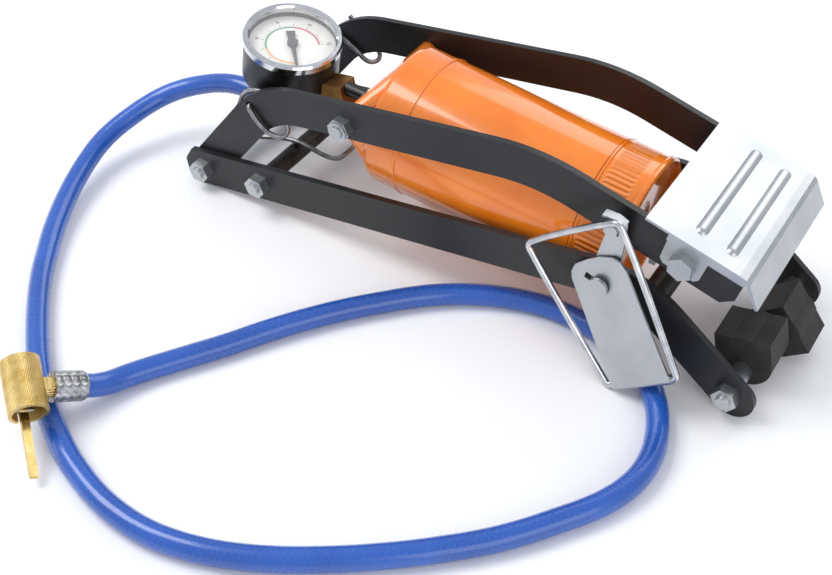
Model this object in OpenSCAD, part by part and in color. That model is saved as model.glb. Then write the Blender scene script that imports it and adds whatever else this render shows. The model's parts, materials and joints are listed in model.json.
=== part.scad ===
// Single-barrel foot air pump with gauge, hose and lever chuck, folded flat.
// Units are millimetres, Z is up, the floor is z = 0.
// The pump parts are drawn in the frame of the base rails (X along the rails, bolt 1 at the
// origin) and then tipped by base_tilt, so that the rails' tail and the two feet meet the floor.

/* [Frame] */
// depth of the flat bar of the base rails
rail_h = 19; // [14:1:26]
// thickness of the base rails
rail_t = 3; // [2:0.5:5]
// half the gap between the two base rails
rail_y = 37.5; // [30:0.5:46]
// distance from the pivot bolt to the cross tube
tube_x = 35.1; // [26:0.1:60]
// outside radius of the cross tube
tube_r = 4.6; // [3:0.2:6]
// radius of the welded cross bar that holds the piston rod
bar_r = 5.8; // [4:0.1:8]

/* [Pedal] */
// depth of the flat bar of the pedal arms
arm_h = 18.3; // [14:0.1:26]
// thickness of the pedal arms
arm_t = 3; // [2:0.5:5]
// half the gap between the two pedal arms
arm_y = 34.2; // [28:0.1:44]
// thickness of the pressed pedal plate
pedal_t = 1.2; // [0.8:0.1:3]

/* [Barrel] */
// outside radius of the barrel
barrel_r = 33.6; // [24:0.1:36]
// wall thickness of the barrel
barrel_wall = 1.2; // [0.8:0.1:3]
// radius of the piston rod
rod_r = 5; // [3:0.5:7]

/* [Gauge] */
// outside radius of the gauge bezel
gauge_r = 23.4; // [18:0.1:32]
// depth of the gauge case
gauge_d = 27; // [16:1:34]

/* [Hose] */
// outside radius of the hose
hose_r = 5; // [3:0.25:7]
// number of sides on the hose
hose_sides = 10; // [8:1:12]

/* [Feet] */
// radius of the round side of each foot
foot_r = 12.4; // [8:0.1:18]
// length of each foot along its axle
foot_l = 20; // [12:1:30]

/* [Hidden] */
base_tilt = 9.2;
drop = 10.44;
ox = -142.8;
oy = 5.1;
leg_a = 47.2;
leg_c = 232.9;
leg_r = 43;
axle = [272.8, -43.2];
arm_a = 44.2;
arm_c = [47.5, 46.2];
arm_r1 = 43;
arm_b = 23.5;
arm_c2 = [189, 46.2];
arm_r2 = 94;
bolt3 = [90.9, 43.5];
bolt4 = [253.5, 17.5];
bar = [237.8, -7.6];
ax0 = [90.9, 31.03];
ax_a = 14.733;
s_head = 4.5;
s_end = 132;
s_eye = 151.9;
stud_a = [225.0, 29.6];
stud_b = [219.3, 1.7];
plate_g = 26.5;
plate_lean = 13;
bail_lean = 5;
fold_z = -45.4;
gc = [43.9, -6, 64.4];
gn = 19.3;
my = -6;

steel = [0.78, 0.80, 0.82];
black = [0.07, 0.07, 0.075];
orange = [0.93, 0.39, 0.07];
brass = [0.72, 0.55, 0.28];
blue = [0.10, 0.31, 0.69];
rubber = [0.14, 0.12, 0.11];
chrome = [0.85, 0.86, 0.88];

// ---- placing ----
module shift() { translate([ox, oy, 0]) children(); }
module place() { shift() translate([0, 0, drop]) rotate([0, -base_tilt, 0]) children(); }
module along_y(p, y0, y1) { translate([p[0], y1, p[1]]) rotate([90, 0, 0])
  linear_extrude(y1 - y0) children(); }
module rod_y(p, y0, y1, r, n = 32) { translate([p[0], y1, p[1]]) rotate([90, 0, 0])
  cylinder(h = y1 - y0, r = r, $fn = n); }
module on_axis(s = 0) { translate([ax0[0], 0, ax0[1]]) rotate([0, 90 + ax_a, 0])
  translate([0, 0, s]) children(); }
module at_gauge() { translate(gc) rotate([2.5, gn, 0]) children(); }
module at_plate() { translate([stud_b[0], -45, stud_b[1]]) rotate([0, -plate_g, 0])
  rotate([-plate_lean, 0, 0]) children(); }
module hexa(af, h) { cylinder(h = h, r = af / 2 / cos(30), $fn = 6); }
function arc(c, r, a0, a1, n = 8) =
  [for (i = [0:n]) let (a = a0 + (a1 - a0) * i / n) [c[0] + r * cos(a), c[1] + r * sin(a)]];

// ---- flat outlines in the rail frame ----
module rail_outline() {
  h = rail_h / 2;
  tl = leg_r * tan(leg_a / 2);
  c = [leg_c - tl, -leg_r];
  d = [cos(leg_a), -sin(leg_a)];
  e = [axle[0] + 3 * d[0], axle[1] + 3 * d[1]];
  difference() {
    polygon(concat([[-6.0, -h], [-10.9, -3.4], [-10.9, 3.4], [-6.0, h]],
        arc(c, leg_r + h, 90, 90 - leg_a),
        arc(e, h, 90 - leg_a, -90 - leg_a, 20),
        arc(c, leg_r - h, 90 - leg_a, 90)));
    circle(r = 3.05, $fn = 32);
    translate([tube_x, 0]) circle(r = 3.05, $fn = 32);
    translate(axle) circle(r = 3.05, $fn = 32);
  }
}
module arm_outline() {
  h = arm_h / 2;
  t1 = arm_r1 * tan(arm_a / 2);
  t2 = arm_r2 * tan(arm_b / 2);
  c1 = [arm_c[0] + t1, arm_c[1] - arm_r1];
  c2 = [arm_c2[0] - t2, arm_c2[1] - arm_r2];
  d = [cos(arm_b), -sin(arm_b)];
  u = [sin(arm_b), cos(arm_b)];
  tip = [arm_c2[0] + 95 * d[0], arm_c2[1] + 95 * d[1]];
  difference() {
    polygon(concat(arc([0, 0], h, 270 + arm_a, 90 + arm_a, 20), arc(c1, arm_r1 + h, 90 + arm_a, 90),
        arc(c2, arm_r2 + h, 90, 90 - arm_b),
        [[tip[0] + h * u[0] - 5 * d[0], tip[1] + h * u[1] - 5 * d[1]],
        [tip[0] + 4 * u[0], tip[1] + 4 * u[1]], [tip[0] - 4 * u[0], tip[1] - 4 * u[1]],
        [tip[0] - h * u[0] - 5 * d[0], tip[1] - h * u[1] - 5 * d[1]]],
        arc(c2, arm_r2 - h, 90 - arm_b, 90), arc(c1, arm_r1 - h, 90, 90 + arm_a)));
    circle(r = 3.1, $fn = 32);
    translate(bolt3) circle(r = 3.05, $fn = 32);
    translate(bolt4) circle(r = 3.05, $fn = 32);
  }
}

// ---- base frame ----
module base_rail_near() { color(black) place() difference() {
  along_y([0, 0], -rail_y - rail_t, -rail_y) rail_outline();
  rod_y(stud_b, -rail_y - 9, -rail_y + 1, 2.05); } }
module base_rail_far() { color(black) place() along_y([0, 0], rail_y, rail_y + rail_t) rail_outline(); }
module cross_tube() { color(steel) place() difference() {
  rod_y([tube_x, 0], -rail_y, rail_y, tube_r);
  rod_y([tube_x, 0], -rail_y - 1, rail_y + 1, 3.05); } }
module cross_bar() { color([0.32, 0.31, 0.30]) place() rod_y(bar, -rail_y, rail_y, bar_r, 40); }
module nut_y(p, y, s, af = 10, h = 5) { translate([p[0], y, p[1]]) rotate([90 * s, 15, 0]) hexa(af, h); }
module pivot_bolt() { color(steel) place() union() {
  rod_y([0, 0], -47, 46, 3);
  nut_y([0, 0], -rail_y - rail_t, 1);
  nut_y([0, 0], rail_y + rail_t, -1, 10, 4);
  rod_y([0, 0], -arm_y + 0.15, arm_y - 0.15, 4.6); } }
module tube_bolt() { color(steel) place() union() {
  rod_y([tube_x, 0], -47, 46, 3);
  nut_y([tube_x, 0], -rail_y - rail_t, 1);
  nut_y([tube_x, 0], rail_y + rail_t, -1, 10, 4); } }
module foot_axle() { color(steel) place() union() {
  rod_y(axle, -47.5, 46, 3);
  nut_y(axle, -rail_y - rail_t, 1);
  nut_y(axle, rail_y + rail_t, -1, 10, 4); } }
module foot(a, y0) { translate([axle[0], y0 + foot_l, axle[1]]) rotate([90, -a, 0])
  linear_extrude(foot_l) difference() {
    translate([0.7, 0]) union() { translate([0, 4.4]) circle(r = foot_r, $fn = 64);
      translate([-foot_r, 4.4]) square([2 * foot_r, 11.6]); }
    circle(r = 3.06, $fn = 32); } }
module foot_near() { color(rubber) place() foot(3.6, -24); }
module foot_far() { color(rubber) place() foot(-61, 0.2); }
module foot_spacers() { color(steel) place() for (y = [[-37.4, -24.2], [-3.8, 0], [20.4, 37.4]])
  difference() {
    rod_y(axle, y[0], y[1], 4.5);
    rod_y(axle, y[0] - 1, y[1] + 1, 3); } }
module rail_stud() { color(steel) place() union() {
  rod_y(stud_b, -47.3, -rail_y + 0.5, 2);
  rod_y(stud_b, -48.8, -47.2, 4.4, 40);
  rod_y(stud_b, -rail_y, -rail_y + 1.2, 3.4);
  rod_y(stud_b, -40.9, -rail_y - rail_t, 4.2);
  rod_y(stud_b, -44.1, -42.25, 3.4); } }

// ---- pedal ----
module pedal_arm_near() { color(black) place() difference() {
  along_y([0, 0], -arm_y - arm_t, -arm_y) arm_outline();
  rod_y(stud_a, -50, -30, 2);
  rod_y([36.8, 42.3], -50, -30, 2, 24); } }
module pedal_arm_far() { color(black) place() along_y([0, 0], arm_y, arm_y + arm_t) arm_outline(); }
module head_bolt() { color(steel) place() union() {
  rod_y(bolt3, -43.6, 42.2, 3);
  nut_y(bolt3, -arm_y - arm_t, 1, 10, 4.4);
  rod_y(bolt3, -42.6, -41.6, 4.6, 40);
  nut_y(bolt3, arm_y + arm_t, -1, 10, 4); } }
module on_pedal() { translate([238.0, 0, 36.05]) rotate([0, arm_b, 0]) children(); }
module pedal_plate() {
  w = arm_y + arm_t + 0.05;
  t = pedal_t;
  color(steel) place() on_pedal() difference() {
    union() {
      along_y([0, 0], -w - t, w + t) polygon([[0, -1.05], [42.4, -1.05], [45, -1.4], [47, -2.6], [48.4, -4.2],
        [54.6, -11.8], [55.6, -11], [49.6, -3.6], [48, -1.6], [46, -0.2], [42.6, t - 1.05], [0, t - 1.05]]);
      for (r = [[20.8, -27.5, 30], [35.2, -28.4, 29]]) intersection() {
        union() { rod_y([r[0], -1.6], r[1], r[2], 3.2, 40);
          for (y = [r[1], r[2]]) translate([r[0], y, -1.6]) sphere(r = 3.2, $fn = 32); }
        translate([0, -50, -1]) cube([60, 100, 6]); }
      for (s = [-1, 1]) translate([11, s > 0 ? w : -w - t, -4.2]) cube([35, t, 3.2]);
      for (s = [-1, 1]) translate([0, s > 0 ? w + t : -w, 0]) rotate([90, 0, 0])
        linear_extrude(t) polygon([[11.4, -1], [30.2, -1], [30, -14], [28.2, -16.2], [14, -16.2],
          [12, -14.2]]);
    }
    rod_y([21.6, -10.8], -60, 60, 3.05);
  } }
module pedal_bolts() { color(steel) place() on_pedal()
  for (s = [-1, 1]) union() {
    rod_y([21.6, -10.8], s > 0 ? 28.6 : -40, s > 0 ? 40 : -28.6, 3);
    nut_y([21.6, -10.8], s * (arm_y + arm_t + 0.1 + pedal_t), -s, 10, 4.2);
    nut_y([21.6, -10.8], s * (arm_y - 0.05), s, 10, 4.6); } }
module lock_stud() { color(steel) place() union() {
  rod_y(stud_a, -43.4, -arm_y + 0.6, 2);
  rod_y(stud_a, -44.6, -42.2, 3);
  rod_y(stud_a, -arm_y, -arm_y + 1, 3.2);
  rod_y(stud_a, -40.9, -arm_y - arm_t, 3.4); } }

// ---- wires and the hose: one tube swept along a path of points ----
function unit(v) = v / norm(v);
function turn(q, t) = unit(q - (q * t) * t);
module tube(p, r, n) {
  m = len(p);
  ts = [for (i = [0:m - 1]) unit(p[min(i + 1, m - 1)] - p[max(i - 1, 0)])];
  q0 = turn(abs(ts[0][2]) < 0.9 ? [0, 0, 1] : [0, 1, 0], ts[0]);
  qs = [for (i = 0, q = q0; i < m; i = i + 1, q = turn(q, ts[min(i, m - 1)])) q];
  pts = [for (i = [0:m - 1]) let (u = cross(qs[i], ts[i]))
    for (k = [0:n - 1]) p[i] + r * (cos(360 * k / n) * qs[i] + sin(360 * k / n) * u)];
  sides = [for (i = [0:m - 2]) for (k = [0:n - 1]) let (a = i * n + k, b = i * n + (k + 1) % n)
    each [[a, b, b + n], [a, b + n, a + n]]];
  polyhedron(points = pts, faces = concat(sides,
    [[for (k = [n - 1:-1:0]) k]], [[for (k = [0:n - 1]) (m - 1) * n + k]]));
}

// ---- return spring: a coil beside each arm, a leg hooked round each arm, one long loop ----
function coil(y0, y1, a0, a1, n = 56) =
  [for (i = [0:n]) let (a = a0 + (a1 - a0) * i / n) [6.3 * cos(a), y0 + (y1 - y0) * i / n, 6.3 * sin(a)]];
module return_spring() { color(steel) place() tube(concat(
  [[36.8, -36, 42.3], [37.2, -38, 42], [38.4, -38.8, 40.4], [43.4, -38.8, 33], [49, -38.6, 29.4],
  [52.5, -37.4, 28.6], [53.8, -34.4, 29.4], [53, -32.7, 32.4], [48, -32.6, 43], [43, -32.6, 47.8],
  [36, -32.6, 47.6], [31, -32.6, 45], [26, -32.6, 38], [12, -31.5, 18], [8.4, -31, 8]],
  coil(-30.6, -21.4, 1426, 90),
  [[6, -20, 6.2], [14, -14, 5.2], [24, -11.5, 5.6], [tube_x, -11, 6.2], [44, -11, 4.4], [54, -11, 1.6],
  [59.5, -9.6, 1.0], [62, -6, 2.4], [62.8, 0, 3.2], [62, 6, 2.4], [59.5, 9.6, 1.0], [54, 11, 1.6],
  [44, 11, 4.4], [tube_x, 11, 6.2], [24, 11.5, 5.6], [14, 14, 5.2], [6, 20, 6.2]],
  coil(21.4, 30.6, 90, 1426),
  [[8.4, 31, 8], [13, 31.5, 18], [28, 32.6, 38], [33, 32.6, 42.4], [38, 32.6, 42.6], [47.5, 32.6, 36.1],
  [53, 32.7, 31.2], [56.2, 34.4, 30.4], [57.4, 37.4, 31.4], [56, 38.8, 35], [48, 38.8, 43],
  [43.4, 38.8, 49], [42, 38.8, 51.4]]), 1.2, 8); }

// ---- barrel, head, end cap ----
module barrel_tube() { color(orange) place() on_axis() rotate_extrude($fn = 96)
  polygon([[barrel_r - barrel_wall, 18], [barrel_r, 18], [barrel_r, 109.3], [barrel_r - barrel_wall, 109.3]]); }
module barrel_head() { r = barrel_r; color(orange) place() difference() { union() {
  on_axis() rotate_extrude($fn = 96) polygon([[0, s_head], [r - 3, s_head], [r - 0.9, s_head + 1],
    [r, s_head + 3], [r, 20.8], [r + 0.5, 21.2], [r + 0.5, 22.2], [r + 0.02, 22.6], [r + 0.02, 18],
    [r - barrel_wall - 0.02, 18], [r - barrel_wall - 0.02, 20], [r - 4, 20], [r - 4, 12], [0, 12]]);
  hull() { rod_y(bolt3, -arm_y + 0.3, arm_y - 0.3, 5);
    on_axis(s_head + 0.6) cylinder(h = 1, r = r - 2.2, $fn = 48); } }
  rod_y(bolt3, -40, 40, 3.06);
  place_port() cylinder(h = 26, r = 3.4, $fn = 32); } }
module place_port() { translate([76, my, 39.9]) rotate([0, 103, 0]) children(); }
module barrel_end_cap() { r = barrel_r; color(orange) place() on_axis() rotate_extrude($fn = 96)
  polygon([[r - barrel_wall, 109.4], [r + 0.5, 109.8], [r + 0.5, 110.8], [r, 111.2], [r, 129],
    [r + 0.4, 129.8], [r + 0.4, 131.2], [r - 0.6, s_end], [r - 2, 131.4], [r - 2.4, 127.6],
    [rod_r + 7, 127.6], [rod_r + 6, 126.6], [rod_r + 0.08, 126.6], [rod_r + 0.08, 123.4], [r - 3.4, 123.4],
    [r - barrel_wall - 0.6, 120]]); }
module outlet_tube() { color(black) place() intersection() {
  place_port() translate([0, 0, -6]) difference() { cylinder(h = 24, r = 3.38, $fn = 32);
    translate([0, 0, -1]) cylinder(h = 30, r = 1.6, $fn = 24); }
  translate([71, -20, 20]) cube([30, 30, 40]); } }
module manifold() { color(brass) place() difference() {
  union() { translate([57, my - 5.5, 16.4]) cube([14, 11, 28]);
    translate([50.4, my, 23]) rotate([0, 90, 0]) cylinder(h = 7, r = 5.4, $fn = 6); }
  translate([64, my, 40.2]) rotate([0, 90, 0]) cylinder(h = 20, r = 3, $fn = 32);
  translate([64, my, 19.4]) cylinder(h = 24, r = 2.6, $fn = 32);
  translate([44, my, 23]) rotate([0, 90, 0]) cylinder(h = 20, r = 1.9, $fn = 24);
  at_gauge() translate([0, 0, -40]) cylinder(h = 60, r = gauge_r - 0.3, $fn = 64); } }
module check_ball() { color(steel) place() translate([64, my, 30]) sphere(r = 2.5, $fn = 32); }
module check_spring() { color(steel) place() translate([64, my, 19.5]) union() {
  for (k = [0:3]) translate([0, 0, 0.5 + 2.2 * k]) rotate_extrude($fn = 24)
    translate([1.7, 0]) circle(r = 0.4, $fn = 8);
  for (a = [0, 120, 240]) rotate(a) translate([1.7, 0, 0.5]) cylinder(h = 6.6, r = 0.3, $fn = 6); } }

// ---- gauge ----
module gauge_case() { r = gauge_r - 0.6; color(black) place() at_gauge() difference() {
  rotate_extrude($fn = 96) polygon([[0, -gauge_d], [r - 4, -gauge_d], [r - 1.2, -gauge_d + 1.2],
    [r, -gauge_d + 4], [r, -4.2], [0, -4.2]]);
  translate([0, 0, -gauge_d + 2.4]) cylinder(h = gauge_d, r = r - 2, $fn = 96); } }
module gauge_bezel() { r = gauge_r; color(chrome) place() at_gauge() rotate_extrude($fn = 96)
  polygon([[r - 2.6, -4], [r, -4], [r, -1], [r - 0.8, 0], [r - 2.4, 0], [r - 3.2, -0.9], [r - 3.2, -1.6],
    [r - 2.6, -1.6]]); }
module gauge_glass() { color([0.9, 0.95, 1, 0.3]) place() at_gauge() translate([0, 0, -3.3])
  cylinder(h = 1.5, r = gauge_r - 2.7, $fn = 96); }
module gauge_dial() { color([0.93, 0.93, 0.90]) place() at_gauge() translate([0, 0, -7.2])
  difference() { cylinder(h = 0.8, r = gauge_r - 2.75, $fn = 96);
    translate([0, 0, -1]) cylinder(h = 3, r = 1.06, $fn = 24); } }
module gauge_hub() { color(brass) place() at_gauge() union() {
  translate([0, 0, -22]) cylinder(h = 17.2, r = 1, $fn = 24);
  translate([0, 0, -24.5]) cylinder(h = 3, r = 5, $fn = 32); } }
module gauge_needle() { color([0.2, 0.2, 0.2]) place() at_gauge() translate([0, 0, -5.8]) difference() {
  union() { cylinder(h = 1.6, r = 2.6, $fn = 32);
    rotate(-46) translate([0, 0, 0.2]) linear_extrude(0.7)
      polygon([[-8.4, -2.2], [-8.4, 2.2], [0, 1.3], [15, 0.5], [15, -0.5], [0, -1.3]]); }
  translate([0, 0, -1]) cylinder(h = 2.1, r = 1.05, $fn = 24); } }

// ---- piston and rod, drawn along the barrel axis ----
module piston() { color([0.25, 0.25, 0.26]) place() on_axis(26) difference() {
  cylinder(h = 8, r = barrel_r - barrel_wall - 0.9, $fn = 96);
  translate([0, 0, -1]) cylinder(h = 12, r = rod_r - 1, $fn = 32); } }
module piston_cup() { r = barrel_r - barrel_wall - 0.06; color([0.3, 0.2, 0.13]) place() on_axis(22.4)
  difference() { cylinder(h = 3.5, r = r, $fn = 96);
    translate([0, 0, -1]) cylinder(h = 3, r = r - 1.8, $fn = 96);
    translate([0, 0, -1]) cylinder(h = 12, r = rod_r - 1, $fn = 32); } }
module piston_nut() { color(steel) place() on_axis(20.2) difference() { hexa(10, 4.1);
    translate([0, 0, -1]) cylinder(h = 12, r = 2.98, $fn = 32); } }
module piston_rod() {
  r = bar_r + 0.35;
  e = [ax0[0] + s_eye * cos(ax_a), ax0[1] - s_eye * sin(ax_a)];
  color(steel) place() difference() { union() {
    on_axis(19.4) cylinder(h = 5, r = 2.98, $fn = 32);
    on_axis(24.3) cylinder(h = 9.8, r = rod_r - 1.02, $fn = 32);
    on_axis(34.1) cylinder(h = s_eye - 34.1 - 9, r = rod_r, $fn = 40);
    translate([e[0], 0, e[1]]) rotate([0, ax_a, 0]) along_y([0, 0], -6.5, 6.5)
      polygon(concat([[r + 3, -11]], arc([0, 0], r + 3, 0, 90), [[-12.4, 5.6], [-13.4, 3], [-13.4, -11]])); }
    translate([e[0], 0, e[1]]) rotate([0, ax_a, 0]) along_y([0, 0], -9, 9)
      polygon(concat([[r, -20]], arc([0, 0], r, 0, 170, 24), [[-7.8, -1.8], [-8.5, -3.6], [-9.6, -6.5],
        [-10.3, -9.8], [-10.3, -20]])); } }

// ---- lock: a catch on the pedal arm, a keyhole plate and its wire bail on the rail stud ----
module lock_hook() { color(steel) place() union() {
  along_y([0, 0], -42.1, -41) difference() {
    union() {
      translate(stud_b) circle(r = 6, $fn = 48);
      polygon([[213.4, 2.7], [216.2, 12], [220.2, 22.6], [221.2, 25.2], [227.2, 26], [228.6, 31],
        [226.4, 34], [221.4, 35.2], [222.4, 37.8], [228.4, 36.8], [232, 34.4], [230.8, 27.2], [228.6, 18],
        [226.8, 8.4], [225.2, 1.7]]);
    }
    translate(stud_b) circle(r = 2.06, $fn = 32);
  }
  along_y([0, 0], -45.2, -41.6) polygon([[222.4, 37.8], [228.4, 36.8], [232, 34.4], [231.6, 33.6],
    [228, 35.8], [222.2, 36.8]]); } }
module lock_plate() { color(steel) place() at_plate() difference() {
  union() {
    rotate([90, 0, 0]) linear_extrude(1) difference() {
      polygon([[-13.2, fold_z], [-12.8, 4.4], [-11.6, 7.6], [-8.4, 10.2], [-2, 11.2], [5, 11.4],
        [11, 10], [14.2, 7.2], [15.3, 3.6], [17.2, fold_z]]);
      circle(r = 3, $fn = 32);
      rotate(135) translate([0, -1.4]) square([7.4, 2.8]); }
    translate([-12.9, 1.3, fold_z]) rotate([0, 90, 0]) cylinder(h = 29.8, r = 2.3, $fn = 40); }
  translate([-20, 1.3, fold_z]) rotate([0, 90, 0]) cylinder(h = 50, r = 1.54, $fn = 40); } }
module wire_bail() { color(chrome) place() at_plate() translate([0, 1.3, fold_z])
  rotate([plate_lean - bail_lean, 0, 0]) tube([[-1, 0, 0], [-15.4, 0, 0], [-16.6, 0, 0.6], [-17, 0, 1.8],
    [-22.6, 0, 67.6], [-22.2, 0, 69.8], [-19.8, 0, 71.2], [23.6, 0, 72.2], [25.8, 0, 71.4], [26.6, 0, 69],
    [19.8, 0, 1.8], [19.4, 0, 0.6], [18.2, 0, 0], [2, 0, 0]], 1.5, 12); }

// ---- hose and chuck ----
route = [[45.6, -6, 41.1], [37.6, -6, 39.8], [24, -6, 39], [10, -6, 38.8], [-3, -6, 38.2],
  [-14, -6.4, 35.6], [-25, -8.4, 31.6], [-35, -12.8, 27.6], [-42, -18.4, 24.2], [-47, -27.4, 21.2],
  [-50, -37, 18.6], [-52, -46.4, 16.2], [-52.4, -56.4, 13.8], [-50.6, -67.4, 11.6], [-47.4, -78.6, 9.8],
  [-43.2, -89.8, 8.2], [-38, -101, 6.9], [-32, -112, 5.9], [-25.2, -122.6, 5.2], [-18, -133, 5],
  [-10, -143, 5], [-1.6, -152.4, 5], [7, -161.4, 5], [15.6, -169.8, 5], [24.6, -177.8, 5], [33.6, -185, 5],
  [43, -192, 5], [52.8, -198, 5], [64, -204, 5], [76, -209, 5], [90, -213.4, 5], [103, -215.6, 5],
  [116, -216, 5], [128, -214.4, 5], [140, -211.2, 5], [150, -207.4, 5], [160, -202.6, 5], [170, -197, 5],
  [179, -191.2, 5], [188, -185, 5], [197, -178.2, 5], [206, -171, 5], [214.4, -163.6, 5],
  [222.6, -156, 5], [230.6, -147.6, 5], [238, -138.6, 5], [245, -129, 5], [251.4, -120, 5],
  [256.6, -111, 5], [260.2, -102, 5], [262, -93, 5], [262, -83.6, 5], [260, -73.6, 5], [256, -63.4, 5],
  [250.6, -54.4, 5], [244.4, -47, 5], [236.4, -40.2, 5], [227, -35.4, 5], [216.4, -31.8, 5],
  [205, -29.8, 5], [192, -29.2, 5], [179, -31, 5], [166, -35.2, 5], [153.6, -41.2, 5], [142, -48.8, 5],
  [132, -57.4, 5], [122, -67.8, 5], [110.6, -80.6, 5], [99.6, -95, 5], [90, -109.4, 5], [80.6, -125, 5],
  [71, -139.4, 5], [62.6, -152.4, 5.2], [58, -161, 5.8], [55, -168.4, 6.8],
  [52.6, -173.7, 8.6], [50.4, -177.6, 10.7]];
module hose() { color(blue) shift() tube(route, hose_r, hose_sides); }
module at_chuck() { shift() translate([39.2, -197.3, 21.2]) rotate([-26.4, 18, -38.4]) children(); }
module hose_ferrule() { color(chrome) at_chuck() translate([0, 11.2, 0]) rotate([-90, 0, 0])
  difference() { union() { cylinder(h = 12.6, r = 6.3, $fn = 40);
    translate([0, 0, 12.6]) cylinder(h = 1.1, r = 5.8, $fn = 40); }
    translate([0, 0, 1]) cylinder(h = 20, r = 3.5, $fn = 32); } }
module chuck_body() { color(brass) at_chuck() difference() { union() {
  rotate([0, 90, 0]) translate([0, 0, -11.8]) cylinder(h = 23.6, r = 8, $fn = 64);
  translate([0, 6.6, 0]) rotate([-90, 0, 0]) cylinder(h = 4.5, r = 4.6, $fn = 6); }
  rotate([0, 90, 0]) translate([0, 0, -6]) cylinder(h = 30, r = 6.5, $fn = 48);
  rotate([0, 90, 0]) translate([0, 0, -9]) cylinder(h = 10, r = 2.2, $fn = 24);
  rotate([-90, 0, 0]) cylinder(h = 30, r = 1.8, $fn = 24);
  translate([7, 9, -5.6]) rotate([90, 0, 0]) cylinder(h = 18, r = 1, $fn = 16);
  translate([5, -2, -9]) cube([8, 4, 5]); } }
module chuck_seal() { color(rubber) at_chuck() rotate([0, 90, 0]) translate([0, 0, -5.98])
  difference() { cylinder(h = 8, r = 6.46, $fn = 48);
    translate([0, 0, -1]) cylinder(h = 12, r = 3.9, $fn = 40); } }
module chuck_pin() { color(steel) at_chuck() translate([7, 5.6, -5.6]) rotate([90, 0, 0])
  cylinder(h = 11.2, r = 0.98, $fn = 16); }
module chuck_lever() { color(brass) at_chuck() difference() { union() {
  translate([7, 1.7, -5.6]) rotate([90, 0, 0]) cylinder(h = 3.4, r = 1.6, $fn = 24);
  translate([7, 1.7, -5.6]) rotate([90, 0, 0]) linear_extrude(3.4) polygon([[0, 0.6], [5, 1.2],
    [28.6, 0], [29.4, -0.8], [28.4, -1.4], [5, -0.4], [0, -0.8]]); }
  translate([7, 9, -5.6]) rotate([90, 0, 0]) cylinder(h = 18, r = 1.02, $fn = 16); } }

base_rail_near();
base_rail_far();
cross_tube();
cross_bar();
pivot_bolt();
tube_bolt();
foot_axle();
foot_near();
foot_far();
foot_spacers();
rail_stud();
pedal_arm_near();
pedal_arm_far();
head_bolt();
pedal_plate();
pedal_bolts();
lock_stud();
return_spring();
barrel_tube();
barrel_head();
barrel_end_cap();
outlet_tube();
manifold();
check_ball();
check_spring();
gauge_case();
gauge_bezel();
gauge_glass();
gauge_dial();
gauge_hub();
gauge_needle();
piston();
piston_cup();
piston_nut();
piston_rod();
lock_hook();
lock_plate();
wire_bail();
hose();
hose_ferrule();
chuck_body();
chuck_seal();
chuck_lever();
chuck_pin();
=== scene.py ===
# %% [markdown]
# # A folding foot pump
# The pump is a pair of black steel rails with a pedal frame hinged to them. An orange barrel hangs
# in the pedal frame, and its piston rod hooks over a bar in the rails. The moving frame comes in
# ready made; this script adds the camera, light, finishes and the fine round pieces.

# %% Load the frame
import json
import math

import bpy
from mathutils import Euler, Matrix, Vector


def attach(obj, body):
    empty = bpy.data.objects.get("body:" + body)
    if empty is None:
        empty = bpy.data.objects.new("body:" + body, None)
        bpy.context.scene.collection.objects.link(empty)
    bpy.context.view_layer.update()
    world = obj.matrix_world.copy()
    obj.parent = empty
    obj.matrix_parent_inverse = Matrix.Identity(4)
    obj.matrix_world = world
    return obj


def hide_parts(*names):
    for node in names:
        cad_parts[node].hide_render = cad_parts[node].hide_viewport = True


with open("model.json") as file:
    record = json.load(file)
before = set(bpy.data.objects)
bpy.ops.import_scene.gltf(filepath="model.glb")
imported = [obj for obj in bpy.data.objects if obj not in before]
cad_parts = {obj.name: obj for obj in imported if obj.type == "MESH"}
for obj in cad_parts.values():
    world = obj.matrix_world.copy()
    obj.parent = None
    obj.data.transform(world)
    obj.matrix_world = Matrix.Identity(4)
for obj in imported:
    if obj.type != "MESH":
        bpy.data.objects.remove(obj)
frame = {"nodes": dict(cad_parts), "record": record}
scene = bpy.context.scene
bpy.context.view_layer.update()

# %% [markdown]
# The pump was drawn along its rails, then tipped until the tail and feet met the floor. Each small
# group of parts has its own frame too, so a helper for each gives true places on that part.

# %% The frames that the parts were drawn in
MM = 0.001


def move(x, y, z):
    return Matrix.Translation(Vector((x, y, z)) * MM)


def turn(degrees, axis):
    return Matrix.Rotation(math.radians(degrees), 4, axis)


FLOOR_SHIFT = move(-142.8, 5.1, 0)
RAILS = FLOOR_SHIFT @ move(0, 0, 10.44) @ turn(-9.2, "Y")
GAUGE = RAILS @ move(43.9, -6, 64.4) @ turn(19.3, "Y") @ turn(2.5, "X")
BARREL = RAILS @ move(90.9, 0, 31.03) @ turn(104.733, "Y")
PLATE = RAILS @ move(219.3, -45, 1.7) @ turn(-26.5, "Y") @ turn(-13, "X")
BAIL = PLATE @ move(0, 1.3, -45.4) @ turn(8, "X")
CHUCK = FLOOR_SHIFT @ move(39.2, -197.3, 21.2) @ Euler(
    [math.radians(a) for a in (-26.4, 18, -38.4)]
).to_matrix().to_4x4()
print("pivot at", [round(v, 4) for v in RAILS.translation])

# %% [markdown]
# The camera stands to the pedal side, above the pump, and looks down at it. Its lens is a little
# long, and a small shift of the picture places the pump in the frame.

# %% Camera
lens = bpy.data.cameras.new("camera")
lens.lens = 58.67
lens.shift_x = -0.0716
lens.shift_y = -0.1233
camera = bpy.data.objects.new("camera", lens)
camera.location = (0.2264, -0.4195, 0.4313)
camera.rotation_euler = [math.radians(a) for a in (50.487, -1.743, 30.819)]
scene.collection.objects.link(camera)
scene.camera = camera
print("camera at", tuple(camera.location))

# %% [markdown]
# A hose, a spring and a bent wire are all one round section along a line. A curve with a bevel
# makes each, stays smooth at any zoom, and is far lighter than a swept mesh.

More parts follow.
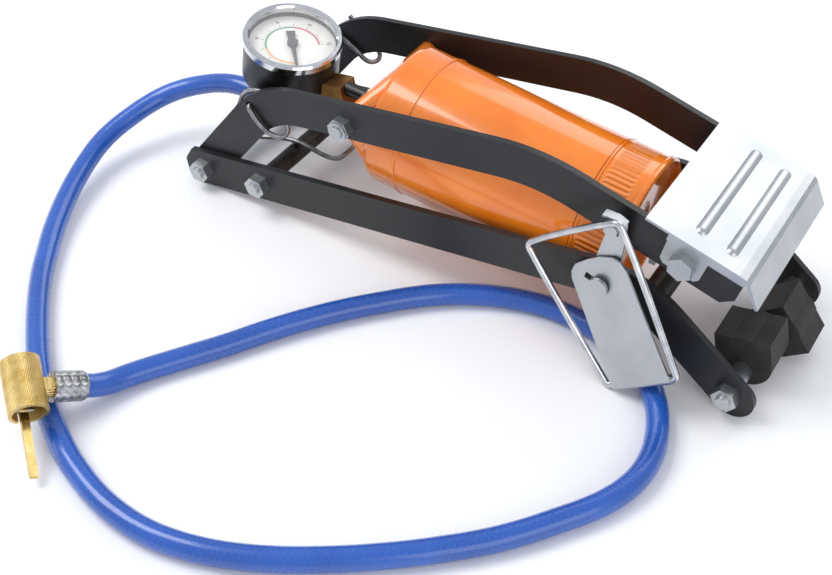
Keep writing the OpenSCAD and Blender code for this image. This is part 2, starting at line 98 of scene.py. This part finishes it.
# %% A round section along a line
def bent_rod(name, points, radius, place, body, stands_for=None, steps=8):
    curve = bpy.data.curves.new(name, "CURVE")
    curve.dimensions = "3D"
    curve.bevel_depth = 1.0  # times the radius on each point, so the box stays true
    curve.bevel_resolution = 5
    curve.resolution_u = steps
    curve.use_fill_caps = True
    line = curve.splines.new("BEZIER")
    line.bezier_points.add(len(points) - 1)
    for knot, point in zip(line.bezier_points, points):
        knot.co = place @ (Vector(point) * MM)
        knot.handle_left_type = "AUTO"
        knot.handle_right_type = "AUTO"
        knot.radius = radius * MM
    piece = bpy.data.objects.new(name, curve)
    scene.collection.objects.link(piece)
    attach(piece, body)
    if stands_for:
        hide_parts(stands_for)
    return piece


# %% [markdown]
# The hose leaves the brass block under the gauge, falls to the floor, runs round in one wide loop
# and comes back to the chuck, which stands across its first stretch. It is 10 mm thick and lies on
# the floor for most of its way, so the line sits one radius above it.

# %% The hose
HOSE_ROUTE = [
    (45.6, -6, 41.1), (37.6, -6, 39.8), (24, -6, 39), (10, -6, 38.8), (-3, -6, 38.2), (-14, -6.4, 35.6),
    (-25, -8.4, 31.6), (-35, -12.8, 27.6), (-42, -18.4, 24.2), (-47, -27.4, 21.2), (-50, -37, 18.6),
    (-52, -46.4, 16.2), (-52.4, -56.4, 13.8), (-50.6, -67.4, 11.6), (-47.4, -78.6, 9.8),
    (-43.2, -89.8, 8.2), (-38, -101, 6.9), (-32, -112, 5.9), (-25.2, -122.6, 5.2), (-18, -133, 5),
    (-10, -143, 5), (-1.6, -152.4, 5), (7, -161.4, 5), (15.6, -169.8, 5), (24.6, -177.8, 5),
    (33.6, -185, 5), (43, -192, 5), (52.8, -198, 5), (64, -204, 5), (76, -209, 5), (90, -213.4, 5),
    (103, -215.6, 5), (116, -216, 5), (128, -214.4, 5), (140, -211.2, 5), (150, -207.4, 5),
    (160, -202.6, 5), (170, -197, 5), (179, -191.2, 5), (188, -185, 5), (197, -178.2, 5),
    (206, -171, 5), (214.4, -163.6, 5), (222.6, -156, 5), (230.6, -147.6, 5), (238, -138.6, 5),
    (245, -129, 5), (251.4, -120, 5), (256.6, -111, 5), (260.2, -102, 5), (262, -93, 5),
    (262, -83.6, 5), (260, -73.6, 5), (256, -63.4, 5), (250.6, -54.4, 5), (244.4, -47, 5),
    (236.4, -40.2, 5), (227, -35.4, 5), (216.4, -31.8, 5), (205, -29.8, 5), (192, -29.2, 5),
    (179, -31, 5), (166, -35.2, 5), (153.6, -41.2, 5), (142, -48.8, 5), (132, -57.4, 5),
    (122, -67.8, 5), (110.6, -80.6, 5), (99.6, -95, 5), (90, -109.4, 5), (80.6, -125, 5),
    (71, -139.4, 5), (62.6, -152.4, 5.2), (58, -161, 5.8), (55, -168.4, 6.8), (52.6, -173.7, 8.6),
    (50.4, -177.6, 10.7),
]
HOSE_R = 5
hose = bent_rod("hose_tube", HOSE_ROUTE, HOSE_R, FLOOR_SHIFT, "base", "hose", steps=6)
hose_length = sum(
    (Vector(a) - Vector(b)).length for a, b in zip(HOSE_ROUTE, HOSE_ROUTE[1:])
) * MM
print("hose", round(hose_length, 3), "m")

# %% [markdown]
# The return spring is one wire: a leg hooked round each arm, a coil on each side of the pivot and
# a long loop between them that bears on the cross tube.

# %% Return spring
COIL_R = 6.3


def coil(y0, y1, a0, a1, count=72):
    points = []
    for i in range(count + 1):
        a = math.radians(a0 + (a1 - a0) * i / count)
        points.append((COIL_R * math.cos(a), y0 + (y1 - y0) * i / count, COIL_R * math.sin(a)))
    return points


NEAR_LEG = [
    (36.8, -36, 42.3), (37.2, -38, 42), (38.4, -38.8, 40.4), (43.4, -38.8, 33), (49, -38.6, 29.4),
    (52.5, -37.4, 28.6), (53.8, -34.4, 29.4), (53, -32.7, 32.4), (48, -32.6, 43), (43, -32.6, 47.8),
    (36, -32.6, 47.6), (31, -32.6, 45), (26, -32.6, 38), (12, -31.5, 18), (8.4, -31, 8),
]
LOOP = [
    (6, -20, 6.2), (14, -14, 5.2), (24, -11.5, 5.6), (35.1, -11, 6.2), (44, -11, 4.4), (54, -11, 1.6),
    (59.5, -9.6, 1), (62, -6, 2.4), (62.8, 0, 3.2), (62, 6, 2.4), (59.5, 9.6, 1), (54, 11, 1.6),
    (44, 11, 4.4), (35.1, 11, 6.2), (24, 11.5, 5.6), (14, 14, 5.2), (6, 20, 6.2),
]
FAR_LEG = [
    (8.4, 31, 8), (13, 31.5, 18), (28, 32.6, 38), (33, 32.6, 42.4), (38, 32.6, 42.6), (47.5, 32.6, 36.1),
    (53, 32.7, 31.2), (56.2, 34.4, 30.4), (57.4, 37.4, 31.4), (56, 38.8, 35), (48, 38.8, 43),
    (43.4, 38.8, 49), (42, 38.8, 51.4),
]
spring_line = NEAR_LEG + coil(-30.6, -21.4, 1426, 90) + LOOP + coil(21.4, 30.6, 90, 1426) + FAR_LEG
spring = bent_rod("spring_wire", spring_line, 1.2, RAILS, "base", "return_spring", steps=3)
print("spring points", len(spring_line))

# %% [markdown]
# The bail is a loop of bright wire whose ends turn into the rolled foot of the lock plate.

# %% Wire bail
BAIL_LINE = [
    (-1, 0, 0), (-14.6, 0, 0), (-16.4, 0, 0.5), (-17, 0, 2.4), (-22.6, 0, 67), (-22.2, 0, 69.8),
    (-19.8, 0, 71.2), (23.6, 0, 72.2), (25.9, 0, 71.3), (26.6, 0, 68.6), (19.8, 0, 2.4),
    (19.3, 0, 0.6), (17.6, 0, 0), (2, 0, 0),
]
bail = bent_rod("bail_wire", BAIL_LINE, 1.5, BAIL, "bail", "wire_bail", steps=4)
print("bail points", len(BAIL_LINE))

# %% [markdown]
# Every bolt ends in a few turns of thread past its nut. A thin helix round the shank is enough to
# read as a thread and costs almost nothing.

# %% Threads on the bolt ends
THREAD_PITCH = 0.7
THREAD_R = 2.85
THREAD_WIRE = 0.26
STEPS_PER_TURN = 12
PIVOT, TUBE, AXLE = (0, 0), (35.1, 0), (272.8, -43.2)
THREAD_ENDS = [
    ("pivot", PIVOT, -46.6, -45.8), ("pivot_far", PIVOT, 44.6, 45.7),
    ("tube", TUBE, -46.6, -45.8), ("tube_far", TUBE, 44.6, 45.7),
    ("axle", AXLE, -47.1, -45.7), ("axle_far", AXLE, 44.6, 45.7),
]
threads = []
for label, (x, z), y0, y1 in THREAD_ENDS:
    turns = max(abs(y1 - y0) / THREAD_PITCH, 1)
    count = int(turns * STEPS_PER_TURN)
    line = []
    for i in range(count + 1):
        a = 2 * math.pi * turns * i / count
        y = y0 + (y1 - y0) * i / count
        line.append((x + THREAD_R * math.cos(a), y, z + THREAD_R * math.sin(a)))
    threads.append(bent_rod("thread_" + label, line, THREAD_WIRE, RAILS, "base", steps=2))
print("threads", len(threads))

# %% [markdown]
# Colours are kept as the hex codes a painter would quote, and one function turns them into the
# linear values that a shader works in.

# %% Colour and node helpers
def paint(code):
    parts = [int(code[i:i + 2], 16) / 255 for i in (1, 3, 5)]
    return [c / 12.92 if c <= 0.04045 else ((c + 0.055) / 1.055) ** 2.4 for c in parts] + [1.0]


def add(tree, kind, sockets=None, **settings):
    made = tree.nodes.new("ShaderNode" + kind)
    for key, value in settings.items():
        setattr(made, key, value)
    for key, value in (sockets or {}).items():
        if isinstance(value, bpy.types.NodeSocket):
            tree.links.new(value, made.inputs[key])
        else:
            made.inputs[key].default_value = value
    return made


def math_node(tree, what, a, b=0.0):
    return add(tree, "Math", {0: a, 1: b}, operation=what).outputs[0]


def ramp(tree, factor, stops):
    made = add(tree, "ValToRGB", {"Fac": factor})
    band = made.color_ramp
    while len(band.elements) < len(stops):
        band.elements.new(0.5)
    for element, (position, colour) in zip(band.elements, stops):
        element.position = position
        element.color = colour
    return made.outputs["Color"]


def spread(tree, factor, low, high, start=0.3, end=0.7):
    made = add(tree, "MapRange", {"Value": factor, "From Min": start, "From Max": end,
                                  "To Min": low, "To Max": high})
    return made.outputs["Result"]


def noise(tree, where, scale, detail=4.0, rough=0.5):
    return add(tree, "TexNoise", {"Vector": where, "Scale": scale, "Detail": detail,
                                  "Roughness": rough}).outputs["Fac"]


print("orange is", [round(c, 3) for c in paint("#e2601c")])

# %% [markdown]
# Most finishes share one recipe: a slow cloud of noise shifts the colour a little, a fine one
# moves the roughness, and a bump gives the surface its grain at true scale.

# %% The shared recipe
def finish(name, light, dark, rough, metallic=0.0, patch=60.0, grain=900.0, bump=0.00002,
           coat=0.0, coat_rough=0.1, place=None):
    material = bpy.data.materials.new(name)
    material.use_nodes = True
    tree = material.node_tree
    skin = tree.nodes["Principled BSDF"]
    where = add(tree, "TexCoord").outputs["Object"]
    if place is not None:
        spot, spin, _ = place.decompose()
        where = add(tree, "Mapping", {"Vector": where, "Location": spot,
                                      "Rotation": spin.to_euler()}, vector_type="TEXTURE").outputs[0]
    cloud = noise(tree, where, patch, 5)
    fine = noise(tree, where, grain, 3)
    tint = ramp(tree, cloud, [(0.35, paint(dark)), (0.65, paint(light))])
    tree.links.new(tint, skin.inputs["Base Color"])
    both = math_node(tree, "ADD", math_node(tree, "MULTIPLY", cloud, 0.4),
                     math_node(tree, "MULTIPLY", fine, 0.6))
    tree.links.new(spread(tree, both, rough[0], rough[1]), skin.inputs["Roughness"])
    bumps = add(tree, "Bump", {"Height": fine, "Distance": bump, "Strength": 0.6})
    tree.links.new(bumps.outputs[0], skin.inputs["Normal"])
    skin.inputs["Metallic"].default_value = metallic
    skin.inputs["Coat Weight"].default_value = coat
    skin.inputs["Coat Roughness"].default_value = coat_rough
    return material, tree, skin, where, bumps, tint


def wear(tree, skin, where, tint, bare, scale, level, soft=0.04):
    chips = noise(tree, where, scale, 8, 0.65)
    mask = spread(tree, chips, 0, 1, level, level + soft)
    mixed = add(tree, "Mix", {0: mask}, data_type="RGBA")
    tree.links.new(tint, mixed.inputs[6])
    mixed.inputs[7].default_value = paint(bare)
    tree.links.new(mixed.outputs[2], skin.inputs["Base Color"])
    return mask


FINISHES = {}

# %% [markdown]
# The rails and arms are flat bar with a semi-gloss black paint. Small scuffs let grey primer show.

# %% Black painted bar
black, tree, skin, where, _, tint = finish(
    "semi_gloss_black_paint", "#121214", "#0a0a0c", (0.36, 0.54), grain=700, bump=0.00004, coat=0.1,
    coat_rough=0.3)
wear(tree, skin, where, tint, "#5c5c60", 90, 0.7)
FINISHES["black_paint"] = black

# %% [markdown]
# Zinc plate is a bright grey metal with faint warm patches and a very fine grain. The dark bar and
# the wires share the recipe in other greys.

# %% Zinc plated steel, dark bar and wires
zinc, tree, skin, where, _, tint = finish(
    "bright_zinc_plate", "#c3c6c8", "#b0b4b7", (0.3, 0.44), metallic=1.0, patch=40, grain=1200,
    bump=0.00001)
wear(tree, skin, where, tint, "#9d988e", 60, 0.7, 0.12)
FINISHES["zinc_steel"] = zinc
FINISHES["dark_bar"] = finish(
    "oiled_dark_steel", "#4b4642", "#2e2b29", (0.35, 0.6), metallic=0.9, patch=120)[0]
FINISHES["spring_wire"] = finish(
    "plated_spring_wire", "#a9a9a8", "#727271", (0.25, 0.5), metallic=1.0, patch=200)[0]
FINISHES["bail_chrome"] = finish(
    "bright_wire", "#d8d8da", "#b9babd", (0.1, 0.24), metallic=1.0, patch=150)[0]
FINISHES["bezel_chrome"] = finish(
    "polished_bezel", "#dedee0", "#c4c5c9", (0.06, 0.16), metallic=1.0, patch=90)[0]

# %% [markdown]
# The ferrule is a soft metal sleeve squeezed by a crimping die, which leaves a ring of flats.

# %% Crimped ferrule
HALF_FLATS = 5.0
CRIMP_BANDS = 900.0
crimped, tree, skin, where, bumps, tint = finish(
    "crimped_ferrule", "#c3c4c4", "#8f9193", (0.25, 0.42), metallic=1.0, patch=260, place=CHUCK)
apart = add(tree, "SeparateXYZ", {0: where})
round_angle = math_node(tree, "ARCTAN2", apart.outputs["Z"], apart.outputs["X"])
flats = math_node(tree, "ABSOLUTE", math_node(tree, "SINE", math_node(
    tree, "MULTIPLY", round_angle, HALF_FLATS)))
bands = math_node(tree, "ABSOLUTE", math_node(tree, "SINE", math_node(
    tree, "MULTIPLY", apart.outputs["Y"], CRIMP_BANDS)))
squeezed = math_node(tree, "MULTIPLY", flats, bands)
pressed = add(tree, "Bump", {"Height": squeezed, "Distance": 0.0007, "Strength": 0.9,
                             "Normal": bumps.outputs[0]})
tree.links.new(pressed.outputs[0], skin.inputs["Normal"])
FINISHES["ferrule_metal"] = crimped

# %% [markdown]
# The barrel is a drawn steel can in thick gloss enamel. Its mouth end is fluted for grip, so the
# bump there follows the angle round the barrel's own axis.

# %% Orange enamel
FLUTES = 84.0
FLUTES_START = 0.1125
FLUTES_STOP = 0.1255
FADE = 0.001
orange, tree, skin, where, bumps, tint = finish(
    "gloss_orange_enamel", "#f28420", "#e97718", (0.14, 0.26), patch=35, grain=260, bump=0.00003,
    coat=0.7, coat_rough=0.06, place=BARREL)
apart = add(tree, "SeparateXYZ", {0: where})
round_angle = math_node(tree, "ARCTAN2", apart.outputs["Y"], apart.outputs["X"])
ribs = math_node(tree, "SINE", math_node(tree, "MULTIPLY", round_angle, FLUTES))
along = apart.outputs["Z"]
start = spread(tree, along, 0, 1, FLUTES_START, FLUTES_START + FADE)
stop = spread(tree, along, 1, 0, FLUTES_STOP - FADE, FLUTES_STOP)
flutes = math_node(tree, "MULTIPLY", ribs, math_node(tree, "MULTIPLY", start, stop))
fluted = add(tree, "Bump", {"Height": flutes, "Distance": 0.0004, "Strength": 0.9,
                            "Normal": bumps.outputs[0]})
tree.links.new(fluted.outputs[0], skin.inputs["Normal"])
FINISHES["orange_paint"] = orange

# %% [markdown]
# The block and chuck are machined. The chuck barrel carries a diamond knurl, two crossing helices
# round its own axis.

# %% Brass block and knurled chuck
KNURL_ROUND = 36.0
KNURL_ALONG = 4600.0
FINISHES["brass_block"] = finish(
    "aged_brass_block", "#9a7440", "#7a5626", (0.34, 0.52), metallic=0.85, patch=160)[0]
knurled, tree, skin, where, bumps, tint = finish(
    "knurled_brass", "#ecd08c", "#d4b062", (0.24, 0.38), metallic=1.0, patch=150, place=CHUCK)
apart = add(tree, "SeparateXYZ", {0: where})
round_angle = math_node(tree, "ARCTAN2", apart.outputs["Z"], apart.outputs["Y"])
lead = math_node(tree, "MULTIPLY", apart.outputs["X"], KNURL_ALONG)
spin = math_node(tree, "MULTIPLY", round_angle, KNURL_ROUND)
one_way = math_node(tree, "SINE", math_node(tree, "ADD", spin, lead))
other_way = math_node(tree, "SINE", math_node(tree, "SUBTRACT", spin, lead))
knurl = math_node(tree, "MULTIPLY", one_way, other_way)
raised = add(tree, "Bump", {"Height": knurl, "Distance": 0.00025, "Strength": 0.6,
                            "Normal": bumps.outputs[0]})
tree.links.new(raised.outputs[0], skin.inputs["Normal"])
FINISHES["chuck_metal"] = knurled
FINISHES["lever_brass"] = finish(
    "polished_brass", "#e6cb8c", "#cdb068", (0.2, 0.34), metallic=1.0, patch=200)[0]

# %% [markdown]
# Plastics and rubbers differ by how wide their shine spreads: the gauge case has a soft shine, the
# feet and seals are dull.

# %% Plastics and rubbers
FINISHES["black_plastic"] = finish(
    "gloss_black_case", "#121214", "#0b0b0d", (0.3, 0.42), patch=80, coat=0.1)[0]
FINISHES["piston_plastic"] = finish("moulded_black", "#2c2c2f", "#202022", (0.45, 0.6))[0]
FINISHES["cup_rubber"] = finish("greased_cup", "#3a2a20", "#241a14", (0.3, 0.5))[0]
FINISHES["foot_rubber"] = finish(
    "dull_black_rubber", "#33302d", "#22201e", (0.6, 0.85), patch=140, grain=1600, bump=0.00012)[0]
FINISHES["seal_rubber"] = finish("seal_rubber", "#242424", "#161616", (0.5, 0.7))[0]
FINISHES["needle_black"] = finish("needle_black", "#1a1a1c", "#101012", (0.35, 0.5))[0]

# %% [markdown]
# The hose has a glossy blue skin over crossed threads. The curve's own UV runs along and round it,
# so two sine waves in UV draw a braid whose pitch is a few millimetres.

# %% Blue hose skin
BRAID_ALONG = 2100.0
BRAID_THREADS = 6
hose_skin, tree, skin, where, bumps, tint = finish(
    "blue_braided_hose", "#1f58b4", "#164a9e", (0.2, 0.34), patch=30, grain=500, bump=0.00002,
    coat=0.5, coat_rough=0.08)
uv = add(tree, "SeparateXYZ", {0: add(tree, "TexCoord").outputs["UV"]})
along = math_node(tree, "MULTIPLY", uv.outputs["X"], BRAID_ALONG)
around = math_node(tree, "MULTIPLY", uv.outputs["Y"], 2 * math.pi * BRAID_THREADS)
first = math_node(tree, "SINE", math_node(tree, "ADD", along, around))
second = math_node(tree, "SINE", math_node(tree, "SUBTRACT", along, around))
lines = math_node(tree, "MAXIMUM", first, second)
mask = spread(tree, lines, 0.0, 0.32, 0.8, 1.0)
braid = add(tree, "Mix", {0: mask}, data_type="RGBA")
tree.links.new(tint, braid.inputs[6])
braid.inputs[7].default_value = paint("#2f68c4")
tree.links.new(braid.outputs[2], skin.inputs["Base Color"])
FINISHES["hose_blue"] = hose_skin

# %% [markdown]
# The dial is printed: a scale ring in three colours, a tick at each step and figures. Angle and
# radius in the gauge's own frame place the printing, so it stays crisp at any zoom.

# %% Printed dial and its glass
dial, tree, skin, where, bumps, tint = finish(
    "printed_dial", "#efeee8", "#e6e4dc", (0.4, 0.5), patch=60, place=GAUGE)
apart = add(tree, "SeparateXYZ", {0: where})
px, py = apart.outputs["X"], apart.outputs["Y"]
flat = add(tree, "CombineXYZ", {0: px, 1: py})
radius = add(tree, "VectorMath", {0: flat.outputs[0]}, operation="LENGTH").outputs["Value"]
START_ANGLE = -46.0
SCALE_SWEEP = 270.0
TOP_FIGURE = 10
turned = math_node(tree, "ARCTAN2", py, px)
swept = math_node(tree, "SUBTRACT", math.radians(START_ANGLE), turned)
swept = math_node(tree, "FLOORED_MODULO", swept, 2 * math.pi)
share = math_node(tree, "DIVIDE", swept, math.radians(SCALE_SWEEP))
on_scale = math_node(tree, "LESS_THAN", share, 1.003)


def ring(inner, outer):
    return math_node(tree, "MULTIPLY", math_node(tree, "GREATER_THAN", radius, inner * MM),
                     math_node(tree, "LESS_THAN", radius, outer * MM))


def lay_on(under, mask, colour):
    mixed = add(tree, "Mix", {0: mask}, data_type="RGBA")
    tree.links.new(under, mixed.inputs[6])
    if isinstance(colour, str):
        mixed.inputs[7].default_value = paint(colour)
    else:
        tree.links.new(colour, mixed.inputs[7])
    return mixed.outputs[2]


bands = ramp(tree, share, [(0.0, paint("#e3a04a")), (0.3, paint("#4f8f6a")), (0.7, paint("#c23a4c"))])
bands.node.color_ramp.interpolation = "CONSTANT"
ink = lay_on(tint, math_node(tree, "MULTIPLY", ring(12.0, 13.0), on_scale), bands)
for steps, outer, edge in ((50, 14.1, 0.86), (10, 14.9, 0.985)):
    beat = math_node(tree, "COSINE", math_node(tree, "MULTIPLY", share, 2 * math.pi * steps))
    tick = math_node(tree, "MULTIPLY", math_node(tree, "GREATER_THAN", beat, edge), ring(13.3, outer))
    ink = lay_on(ink, math_node(tree, "MULTIPLY", tick, on_scale), "#55555a")
tree.links.new(ink, skin.inputs["Base Color"])
FINISHES["dial_white"] = dial

glass = bpy.data.materials.new("clear_lens")
glass.use_nodes = True
clear = glass.node_tree.nodes["Principled BSDF"]
clear.inputs["Base Color"].default_value = (1, 1, 1, 1)
clear.inputs["Alpha"].default_value = 0.1
where = add(glass.node_tree, "TexCoord").outputs["Object"]
smear = noise(glass.node_tree, where, 140, 5)
glass.node_tree.links.new(spread(glass.node_tree, smear, 0.02, 0.08), clear.inputs["Roughness"])
FINISHES["gauge_lens"] = glass
print("finishes", len(FINISHES))

# %% [markdown]
# Each part takes the finish of its slot, so one table dresses the whole pump.

# %% Dress the parts
def dress(piece, slot):
    piece.data.materials.clear()
    piece.data.materials.append(FINISHES[slot])


for row in frame["record"]["subparts"]:
    node = frame["nodes"][row["node"]]
    dress(node, row["material_slot"])
drawn = [(hose, "hose_blue"), (spring, "spring_wire"), (bail, "bail_chrome")]
for piece, slot in drawn + [(thread, "zinc_steel") for thread in threads]:
    dress(piece, slot)

# %% [markdown]
# The figures on the dial are thin raised letters laid just above the card, all turned the same
# way round the gauge's axis.

# %% Dial figures
FIGURE_REACH = 17.0
FIGURE_SIZE = 3.0
FIGURE_LEVEL = -6.35
FIGURE_TURN = 83


def figure(text, angle, reach, size):
    letters = bpy.data.curves.new("figure_" + text, "FONT")
    letters.body = text
    letters.size = size * MM
    letters.align_x = "CENTER"
    letters.align_y = "CENTER"
    letters.extrude = 0.00002
    a = math.radians(angle)
    piece = bpy.data.objects.new("figure_" + text, letters)
    scene.collection.objects.link(piece)
    bpy.context.view_layer.update()
    mesh = bpy.data.meshes.new_from_object(piece)
    spot = move(reach * math.cos(a), reach * math.sin(a), FIGURE_LEVEL)
    mesh.transform(GAUGE @ spot @ turn(FIGURE_TURN, "Z"))
    bpy.data.objects.remove(piece)
    made = bpy.data.objects.new("figure_" + text, mesh)
    scene.collection.objects.link(made)
    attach(made, "pump_barrel")
    dress(made, "needle_black")


for number in range(0, TOP_FIGURE + 1, 2):
    angle = START_ANGLE - SCALE_SWEEP / TOP_FIGURE * number
    figure(str(number), angle, FIGURE_REACH, FIGURE_SIZE)
print("figures 0 to", TOP_FIGURE)

# %% [markdown]
# A pale floor and large soft lamps give the even shadows of a product shot.

# %% Floor and light
bpy.ops.mesh.primitive_plane_add(size=6, location=(0, 0, 0))
floor = bpy.context.object
floor.name = "floor"
paper = bpy.data.materials.new("pale_paper")
paper.use_nodes = True
paper_tree = paper.node_tree
paper_skin = paper_tree.nodes["Principled BSDF"]
paper_where = add(paper_tree, "TexCoord").outputs["Object"]
paper_tint = ramp(paper_tree, noise(paper_tree, paper_where, 3),
                  [(0.3, paint("#f3f3f3")), (0.7, paint("#f6f6f6"))])
paper_tree.links.new(paper_tint, paper_skin.inputs["Base Color"])
paper_skin.inputs["Roughness"].default_value = 0.9
floor.data.materials.append(paper)


def lamp(name, spot, aim, size, power):
    light = bpy.data.lights.new(name, "AREA")
    light.size = size
    light.energy = power
    piece = bpy.data.objects.new(name, light)
    piece.location = spot
    piece.rotation_euler = (Vector(aim) - Vector(spot)).to_track_quat("-Z", "Y").to_euler()
    scene.collection.objects.link(piece)


lamp("key_lamp", (-0.8, -0.3, 1.2), (0, 0, 0), 0.8, 12)
lamp("fill_lamp", (1.2, -0.7, 0.6), (0, 0, 0.03), 1.0, 5)
lamp("back_lamp", (0.1, 1.3, 1.0), (0, 0, 0.03), 1.2, 8)
sky = bpy.data.worlds.new("soft_sky")
sky.use_nodes = True
sky.node_tree.nodes["Background"].inputs["Color"].default_value = (0.9, 0.93, 1.0, 1)
sky.node_tree.nodes["Background"].inputs["Strength"].default_value = 0.75
scene.world = sky
scene.view_settings.view_transform = "Standard"
print("lights 3")
